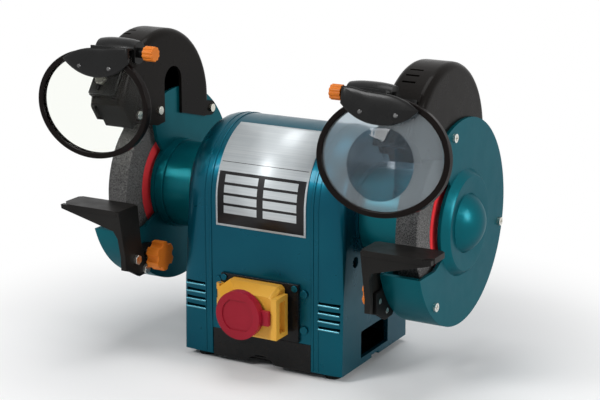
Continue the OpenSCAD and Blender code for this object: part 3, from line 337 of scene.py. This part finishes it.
def printed_plate():
    """Bright foil above, a black field below with pale boxes and a pale border."""
    made = Finish("printed_plate", (0.72, 0.74, 0.76), 0.42, metallic=0.3, coat=0.1)
    uv = made.node("ShaderNodeTexCoord").outputs["UV"]
    split = made.node("ShaderNodeSeparateXYZ")
    made.join(uv, split.inputs["Vector"])
    u, v = split.outputs["X"], split.outputs["Y"]

    def calc(kind, a, b=None):
        step = made.node("ShaderNodeMath", operation=kind)
        for socket, value in zip(step.inputs, (a, b)):
            if value is None:
                continue
            if isinstance(value, (int, float)):
                socket.default_value = value
            else:
                made.join(value, socket)
        return step.outputs["Value"]

    def between(value, span):
        above = calc("GREATER_THAN", value, span[0])
        return calc("MULTIPLY", above, calc("LESS_THAN", value, span[1]))

    def either(a, b):
        return calc("MAXIMUM", a, b)

    field = calc("MULTIPLY", between(u, PRINT_FIELD[0]), between(v, PRINT_FIELD[1]))
    columns = either(between(u, PRINT_COLUMNS[0]), between(u, PRINT_COLUMNS[1]))
    rows = None
    for foot in PRINT_ROWS:
        band = between(v, (foot, foot + PRINT_ROW_HIGH))
        rows = band if rows is None else either(rows, band)
    boxes = calc("MULTIPLY", columns, rows)
    ink = calc("MULTIPLY", field, calc("SUBTRACT", 1.0, boxes))
    rule = calc("MULTIPLY", between(v, PRINT_RULE[1]), between(u, PRINT_RULE[0]))
    ink = either(ink, rule)
    brush = made.node("ShaderNodeMapping")
    brush.inputs["Scale"].default_value = (6, 500, 500)
    made.join(made.place, brush.inputs["Vector"])
    streak = made.spread(made.noise(3, 3, 0.5, brush.outputs["Vector"]), 0, 1, 0.3, 0.7)
    foil = made.mix(streak, (0.5, 0.54, 0.56), (0.62, 0.65, 0.66))
    colour = made.mix(ink, foil, (0.014, 0.013, 0.014))
    made.join(colour, made.shader.inputs["Base Color"])
    made.polish(90, 0.04)
    made.relief(700, 0.004, 1, 0.1)
    return made.material


plate_print = printed_plate()


# ---------------------------------------------------------------- making pieces


def finished(mesh_maker, name, material, body, replaced=(), smooth=35):
    """Turns a bmesh into a piece on a body, in place of the named nodes."""
    mesh = bpy.data.meshes.new(name)
    mesh_maker.to_mesh(mesh)
    mesh_maker.free()
    piece = bpy.data.objects.new(name, mesh)
    bpy.context.scene.collection.objects.link(piece)
    mesh.materials.append(material)
    for face in mesh.polygons:
        face.use_smooth = True
    mesh.set_sharp_from_angle(angle=math.radians(smooth))
    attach(piece, body)
    if replaced:
        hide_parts(*replaced)
    return piece


def bevelled(piece, width, segments=3, angle=30):
    rounding = piece.modifiers.new("rounded_edges", "BEVEL")
    rounding.width = width * MM
    rounding.segments = segments
    rounding.limit_method = "ANGLE"
    rounding.angle_limit = math.radians(angle)
    rounding.use_clamp_overlap = True
    rounding.harden_normals = True
    even = piece.modifiers.new("even_shading", "WEIGHTED_NORMAL")
    even.mode = "FACE_AREA_WITH_ANGLE"
    even.weight = 60
    even.keep_sharp = True
    return piece


def leaf_outline(steps=28):
    """Points around a leaf from one tip over its lower edge to the other and back over the top,
    which sweeps up to the hood's end."""
    points = []
    for (middle, radius), sign in zip(LEAF_ARCS, (-1, 1)):
        for i in range(steps + (sign > 0)):
            off = LEAF_HALF * math.cos(math.pi * i / steps) * sign
            x, y = LEAF_MIDDLE[0] + off, middle + sign * math.sqrt(radius**2 - off**2)
            if sign > 0:
                start, end = LEAF_RISE_X
                part = min(1, max(0, (x - start) / (end - start)))
                y += (LEAF_RISE_TOP - y) * part * part * (3 - 2 * part)
            points.append((x, y))
    return points


def hinge_of(side):
    """The axis about which an eye shield tilts, as y and z in metres."""
    return next(j for j in frame["joints"] if j["name"] == "visor_tilt_" + side)["pos_m"][1:]


def slimmed(side):
    """Draws the ends of a bracket's hood in towards the hinge."""
    middle = hinge_of(side)

    def shape(mesh):
        for vert in mesh.verts:
            off = Vector((vert.co.y - middle[0], vert.co.z - middle[1]))
            if abs(off.length / MM - HOOD_R) < HOOD_BAND:
                off *= HOOD_END_R / HOOD_R
                vert.co.y, vert.co.z = middle[0] + off.x, middle[1] + off.y

    return shape


def softened(
    node, material, width, segments=2, smooth=35, angle=30, other=None, is_other=None, shape=None
):
    """The node's own shape as one clean mesh with its sharp edges rounded. Where a face's middle
    meets the test is_other, it takes the other material. A function can move its points first."""
    source = nodes[node]
    mesh = bmesh.new()
    mesh.from_mesh(source.data)
    bmesh.ops.remove_doubles(mesh, verts=mesh.verts, dist=MERGE * MM)
    bmesh.ops.dissolve_limit(
        mesh, angle_limit=math.radians(FLAT_ANGLE), verts=mesh.verts, edges=mesh.edges
    )
    if shape:
        shape(mesh)
    if other:
        for face in mesh.faces:
            face.material_index = 1 if is_other(face.calc_center_median() / MM) else 0
    piece = finished(
        mesh, node + "_finished", material, source["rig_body"], (node,), smooth=smooth
    )
    if other:
        piece.data.materials.append(other)
    if width:
        bevelled(piece, width, segments, angle)
    return piece


FINISHES = {
    "base_plate": black_steel, "feet": rubber, "stator_core": lamination, "windings": copper,
    "bearings": steel, "capacitor": aluminium_can, "switch_body": black_plastic,
    "cord_gland": rubber, "spindle": steel, "rotor_core": lamination, "fan": black_plastic,
    "wheel_flanges": steel, "spindle_nuts": zinc, "lid_pin": steel,
    "start_button": green, "stop_button": red,
}
for node, material in FINISHES.items():
    nodes[node].data.materials.clear()
    nodes[node].data.materials.append(material)


def past_tilt_knob(middle):
    """On the hinge screw, outside the ribbed knob."""
    return abs(middle.x) > TILT_KNOB_X


def past_rest_knob(middle):
    """On the stud, outside the lobed knob."""
    return abs(middle.x) > REST_KNOB_X


softened("motor_shell", teal, 0.6)
softened("switch_plate", black_plastic, 0.7)
softened("panel_screws", teal, 0.5)
softened("cover_screws", zinc, 0.4)
softened("shroud_screws", zinc, 0.4)
softened("coolant_tray", black_plastic, 0.7)
softened("switch_lid", yellow, 1.3, 3)
softened("stop_disc", red, 1.0, 3)
softened("blotters", red_card, 0)
softened("magnifier", lens, 0)
for side in SIDES:
    softened("end_casting_" + side, teal, 0.7)
    softened("guard_" + side, guard_teal, 0.6)
    softened("cover_" + side, guard_teal, 0.6)
    softened("shroud_" + side, black_paint, 0.6)
    softened("wheel_" + side, grit, 1.0)
    softened("tool_rest_" + side, cast_dark, 0.8)
    softened("rest_arm_" + side, black_steel, 0.5)
    softened("rest_bolts_" + side, zinc, 0.4)
    softened("rest_knob_" + side, orange, 1.2, 3, other=zinc, is_other=past_rest_knob)
    softened("tilt_knob_" + side, orange, 0.5, other=black_steel, is_other=past_tilt_knob)
    softened("visor_arm_" + side, black_plastic, 0.6)
    softened("visor_rim_" + side, rim_plastic, 1.2, 3)
    softened("visor_bracket_" + side, black_plastic, 0.9, 3, shape=slimmed(side))
    softened("visor_rivets_" + side, rivet_steel, 0.3)
    softened("deflector_" + side, black_steel, 0.4)
softened("visor_window_left", left_window, 0)
softened("visor_window_right", right_window, 0)


# ---------------------------------------------------------------- data plate


def curved_plate():
    """A thin plate that follows the arch, laid out flat in its own UV map."""
    inner, outer = BODY_R + PLATE_GAP, BODY_R + PLATE_FACE
    drop = ARCH_Z - PLATE_FOOT
    arc = math.radians(90 - PLATE_SHORT)
    length = drop + BODY_R * arc
    edge = -PLATE_HALF * MM
    mesh = bmesh.new()
    rail = [mesh.verts.new((edge, -outer * MM, PLATE_FOOT * MM))]
    for i in range(PLATE_STEPS + 1):
        turn = arc * i / PLATE_STEPS
        across, up = outer * math.cos(turn), outer * math.sin(turn)
        rail.append(mesh.verts.new((edge, -across * MM, (ARCH_Z + up) * MM)))
    edges = [mesh.edges.new(pair) for pair in zip(rail, rail[1:])]
    grown = bmesh.ops.extrude_edge_only(mesh, edges=edges)
    moved = [v for v in grown["geom"] if isinstance(v, bmesh.types.BMVert)]
    bmesh.ops.translate(mesh, verts=moved, vec=(2 * PLATE_HALF * MM, 0, 0))
    bmesh.ops.recalc_face_normals(mesh, faces=mesh.faces)
    if sum(f.normal.y for f in mesh.faces) > 0:
        bmesh.ops.reverse_faces(mesh, faces=mesh.faces)
    layer = mesh.loops.layers.uv.new("flat")
    for face in mesh.faces:
        for loop in face.loops:
            place = loop.vert.co / MM
            along = place.z - PLATE_FOOT
            if place.z > ARCH_Z:
                along = drop + BODY_R * math.asin(min(1, (place.z - ARCH_Z) / outer))
            loop[layer].uv = ((place.x + PLATE_HALF) / (2 * PLATE_HALF), along / length)
    piece = finished(mesh, "data_plate_finished", plate_print, "housing", ("data_plate",))
    wall = piece.modifiers.new("sheet", "SOLIDIFY")
    wall.thickness = (outer - inner) * MM
    wall.offset = -1
    return piece


curved_plate()


# ---------------------------------------------------------------- eye shield leaves


def tilt_of(side):
    """How far an eye shield's own frame is turned up about its hinge."""
    return math.radians(90 - VISOR_LEAN[side])


def shield_frame(side):
    """A function from a point in an eye shield's own frame, in mm, to its place in metres."""
    sign = SIDES[side]
    hinge = hinge_of(side)
    tilt = tilt_of(side)

    def placed(x, y, z):
        up, out = y - HINGE_UP, z + HINGE_BACK
        return (
            sign * (WHEEL_X + x) * MM,
            hinge[0] + (up * math.cos(tilt) - out * math.sin(tilt)) * MM,
            hinge[1] + (up * math.sin(tilt) + out * math.cos(tilt)) * MM,
        )

    return placed


def add_leaf(mesh, placed):
    """A closed leaf whose face rises in rings from its outline to its middle."""
    outline = leaf_outline()
    rings = []
    for part, rise in CROWN:
        rings.append([
            mesh.verts.new(placed(
                LEAF_MIDDLE[0] + (x - LEAF_MIDDLE[0]) * part,
                LEAF_MIDDLE[1] + (y - LEAF_MIDDLE[1]) * part,
                LEAF_FRONT + rise,
            ))
            for x, y in outline
        ])
    top = mesh.verts.new(placed(*LEAF_MIDDLE, LEAF_FRONT + CROWN_TOP))
    count = len(outline)
    for lower, upper in zip(rings, rings[1:]):
        for i in range(count):
            after = (i + 1) % count
            mesh.faces.new((lower[i], lower[after], upper[after], upper[i]))
    for i in range(count):
        mesh.faces.new((rings[-1][i], rings[-1][(i + 1) % count], top))
    mesh.faces.new(reversed(rings[0]))


def add_hood(mesh, placed):
    """A curved shell along the hinge, closed at its edges, that swells towards its middle."""
    shell = {}
    for i in range(HOOD_COLUMNS + 1):
        along = i / HOOD_COLUMNS
        swell = (HOOD_R - HOOD_END_R - HOOD_SKIN) * (1 - abs(2 * along - 1) ** HOOD_SWELL)
        x = HOOD_X[0] + (HOOD_X[1] - HOOD_X[0]) * along
        radii = (HOOD_END_R - HOOD_ROOT, HOOD_END_R + HOOD_SKIN + swell)
        for j in range(HOOD_ROWS + 1):
            turn = math.radians(HOOD_ARC[0] + (HOOD_ARC[1] - HOOD_ARC[0]) * j / HOOD_ROWS)
            for layer, radius in enumerate(radii):
                shell[i, j, layer] = mesh.verts.new(placed(
                    x, HINGE_UP + radius * math.cos(turn), -HINGE_BACK + radius * math.sin(turn)
                ))

    def face(*corners):
        mesh.faces.new([shell[corner] for corner in corners])

    for i in range(HOOD_COLUMNS):
        for j in range(HOOD_ROWS):
            for layer in (0, 1):
                face((i, j, layer), (i + 1, j, layer), (i + 1, j + 1, layer), (i, j + 1, layer))
    for j in range(HOOD_ROWS):
        for i in (0, HOOD_COLUMNS):
            face((i, j, 0), (i, j + 1, 0), (i, j + 1, 1), (i, j, 1))
    for i in range(HOOD_COLUMNS):
        for j in (0, HOOD_ROWS):
            face((i, j, 0), (i + 1, j, 0), (i + 1, j, 1), (i, j, 1))


def crowned_leaf(side):
    """The swelling face of the bracket over an eye shield and its arched hood."""
    placed = shield_frame(side)
    bracket = "visor_bracket_" + side
    mesh = bmesh.new()
    add_leaf(mesh, placed)
    add_hood(mesh, placed)
    bmesh.ops.recalc_face_normals(mesh, faces=mesh.faces)
    body = nodes[bracket]["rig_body"]
    finished(mesh, "visor_leaf_" + side, black_plastic, body, smooth=40)


def rivet_heads(side):
    """Two shallow heads that stand on the swelling face."""
    placed = shield_frame(side)
    turn = Euler((tilt_of(side), 0, 0)).to_matrix().to_4x4()
    heads = bmesh.new()
    for x, y in RIVETS:
        made = bmesh.ops.create_cone(
            heads, cap_ends=True, segments=24, radius1=RIVET_R * MM, radius2=RIVET_TOP_R * MM,
            depth=RIVET_HIGH * MM, matrix=turn,
        )
        middle = placed(x, y, LEAF_FRONT + RIVET_RISE)
        bmesh.ops.translate(heads, verts=made["verts"], vec=middle)
    bmesh.ops.recalc_face_normals(heads, faces=heads.faces)
    body = nodes["visor_bracket_" + side]["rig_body"]
    bevelled(finished(heads, "rivet_heads_" + side, rivet_steel, body), 0.3, 2)


for side in SIDES:
    crowned_leaf(side)
    rivet_heads(side)


# ---------------------------------------------------------------- vent lips


def vent_lips(side):
    """Rolled lower lips of the ventilation slots on an end casting, front and back."""
    sign = SIDES[side]
    lying = Euler((0, math.radians(90), 0)).to_matrix().to_4x4()
    mesh = bmesh.new()
    for face in (-1, 1):
        for row in range(VENT_ROWS):
            height = VENT_Z + row * VENT_PITCH - VENT_LIP_DROP
            made = bmesh.ops.create_cone(
                mesh, cap_ends=True, segments=16, radius1=VENT_LIP_R * MM,
                radius2=VENT_LIP_R * MM, depth=VENT_LEN * MM, matrix=lying,
            )
            bmesh.ops.translate(
                mesh, verts=made["verts"],
                vec=(sign * VENT_MIDDLE * MM, face * BODY_R * MM, height * MM),
            )
    bmesh.ops.recalc_face_normals(mesh, faces=mesh.faces)
    # the lips are painted in the lighter teal, a painted highlight along each slot's lower edge
    finished(mesh, "vent_lips_" + side, worn_teal, "housing")


for side in SIDES:
    vent_lips(side)


# ---------------------------------------------------------------- seams of the body


def seam_bead(name, near, wide, proud):
    """A rolled edge that follows the body's arch from the front foot over the top to the back."""
    mesh = bmesh.new()
    radius = BODY_R + proud
    rail = [mesh.verts.new((near * MM, -radius * MM, SEAM_FOOT * MM))]
    for i in range(SEAM_STEPS + 1):
        turn = math.pi * i / SEAM_STEPS
        across, up = radius * math.cos(turn), radius * math.sin(turn)
        rail.append(mesh.verts.new((near * MM, -across * MM, (ARCH_Z + up) * MM)))
    rail.append(mesh.verts.new((near * MM, radius * MM, SEAM_FOOT * MM)))
    edges = [mesh.edges.new(pair) for pair in zip(rail, rail[1:])]
    grown = bmesh.ops.extrude_edge_only(mesh, edges=edges)
    moved = [v for v in grown["geom"] if isinstance(v, bmesh.types.BMVert)]
    bmesh.ops.translate(mesh, verts=moved, vec=(wide * MM, 0, 0))
    bmesh.ops.recalc_face_normals(mesh, faces=mesh.faces)
    if sum(face.normal.y * face.calc_center_median().y for face in mesh.faces) < 0:
        bmesh.ops.reverse_faces(mesh, faces=mesh.faces)
    piece = finished(mesh, name, teal, "housing")
    sheet = piece.modifiers.new("sheet", "SOLIDIFY")
    sheet.thickness = (proud + BEAD_ROOT) * MM
    sheet.offset = -1
    bevelled(piece, proud * BEAD_ROUND, 3)


for side, sign in SIDES.items():
    for name, (near, wide, proud) in BEADS.items():
        seam_bead(name + side, sign * near, sign * wide, proud)


# ---------------------------------------------------------------- studio


def seen_plainly(tree):
    """1 for what is seen straight, through glass or in a reflection, and 0 for lighting."""
    path = tree.nodes.new("ShaderNodeLightPath")
    shown = path.outputs["Is Camera Ray"]
    for ray in ("Is Transmission Ray", "Is Glossy Ray"):
        either = tree.nodes.new("ShaderNodeMath")
        either.operation = "MAXIMUM"
        tree.links.new(shown, either.inputs[0])
        tree.links.new(path.outputs[ray], either.inputs[1])
        shown = either.outputs["Value"]
    return shown


def studio_floor():
    """A pale floor that takes the object's shadow and is plain white further off."""
    mesh = bmesh.new()
    bmesh.ops.create_grid(mesh, x_segments=1, y_segments=1, size=FLOOR_SIZE)
    data = bpy.data.meshes.new("floor")
    mesh.to_mesh(data)
    mesh.free()
    floor = bpy.data.objects.new("floor", data)
    bpy.context.scene.collection.objects.link(floor)
    material = bpy.data.materials.new("pale_floor")
    material.use_nodes = True
    tree = material.node_tree
    paper = tree.nodes["Principled BSDF"]
    paper.inputs["Base Color"].default_value = (0.86, 0.86, 0.86, 1)
    paper.inputs["Roughness"].default_value = 0.8
    paper.inputs["Specular IOR Level"].default_value = 0.1
    place = tree.nodes.new("ShaderNodeTexCoord")
    reach = tree.nodes.new("ShaderNodeVectorMath")
    reach.operation = "LENGTH"
    fade = tree.nodes.new("ShaderNodeMapRange")
    fade.interpolation_type = "SMOOTHSTEP"
    fade.inputs["From Min"].default_value = SHADOW_REACH[0]
    fade.inputs["From Max"].default_value = SHADOW_REACH[1]
    white = tree.nodes.new("ShaderNodeEmission")
    whiteness = tree.nodes.new("ShaderNodeMath")
    whiteness.operation = "MULTIPLY"
    mix = tree.nodes.new("ShaderNodeMixShader")
    tree.links.new(place.outputs["Object"], reach.inputs[0])
    tree.links.new(reach.outputs["Value"], fade.inputs["Value"])
    tree.links.new(fade.outputs["Result"], whiteness.inputs[0])
    tree.links.new(seen_plainly(tree), whiteness.inputs[1])
    tree.links.new(whiteness.outputs["Value"], mix.inputs["Fac"])
    tree.links.new(paper.outputs["BSDF"], mix.inputs[1])
    tree.links.new(white.outputs["Emission"], mix.inputs[2])
    tree.links.new(mix.outputs["Shader"], tree.nodes["Material Output"].inputs["Surface"])
    data.materials.append(material)


def soft_light(name, place, size, energy):
    """A rectangular lamp that faces the object."""
    data = bpy.data.lights.new(name, "AREA")
    data.shape = "RECTANGLE"
    data.size, data.size_y = size
    data.energy = energy
    lamp = bpy.data.objects.new(name, data)
    lamp.location = place
    aim = Vector(LIT_POINT) - Vector(place)
    lamp.rotation_euler = aim.to_track_quat("-Z", "Y").to_euler()
    bpy.context.scene.collection.objects.link(lamp)


def pale_world():
    """A dim cool fill that looks plain white where it is seen."""
    world = bpy.data.worlds.new("studio")
    bpy.context.scene.world = world
    world.use_nodes = True
    tree = world.node_tree
    output = tree.nodes["World Output"]
    fill = tree.nodes["Background"]
    fill.inputs["Color"].default_value = (0.92, 0.96, 1, 1)
    fill.inputs["Strength"].default_value = 0.25
    white = tree.nodes.new("ShaderNodeBackground")
    white.inputs["Color"].default_value = (1, 1, 1, 1)
    white.inputs["Strength"].default_value = 1
    mix = tree.nodes.new("ShaderNodeMixShader")
    tree.links.new(seen_plainly(tree), mix.inputs["Fac"])
    tree.links.new(fill.outputs["Background"], mix.inputs[1])
    tree.links.new(white.outputs["Background"], mix.inputs[2])
    tree.links.new(mix.outputs["Shader"], output.inputs["Surface"])


studio_floor()
pale_world()
soft_light("key", (-0.9, -1.6, 1.5), (0.6, 0.6), 24)
soft_light("side", (1.9, -0.3, 0.95), (0.6, 0.9), 20)
soft_light("top", (0, 0.2, 2.0), (1.0, 1.0), 13)

camera_data = bpy.data.cameras.new("camera")
camera_data.sensor_width = CAMERA_SENSOR
camera_data.lens = CAMERA_LENS
camera = bpy.data.objects.new("camera", camera_data)
camera.location = CAMERA_PLACE
view = Vector(CAMERA_AIM) - camera.location
camera.rotation_euler = view.to_track_quat("-Z", "Y").to_euler()
bpy.context.scene.collection.objects.link(camera)
bpy.context.scene.camera = camera
bpy.context.scene.view_settings.view_transform = "Standard"
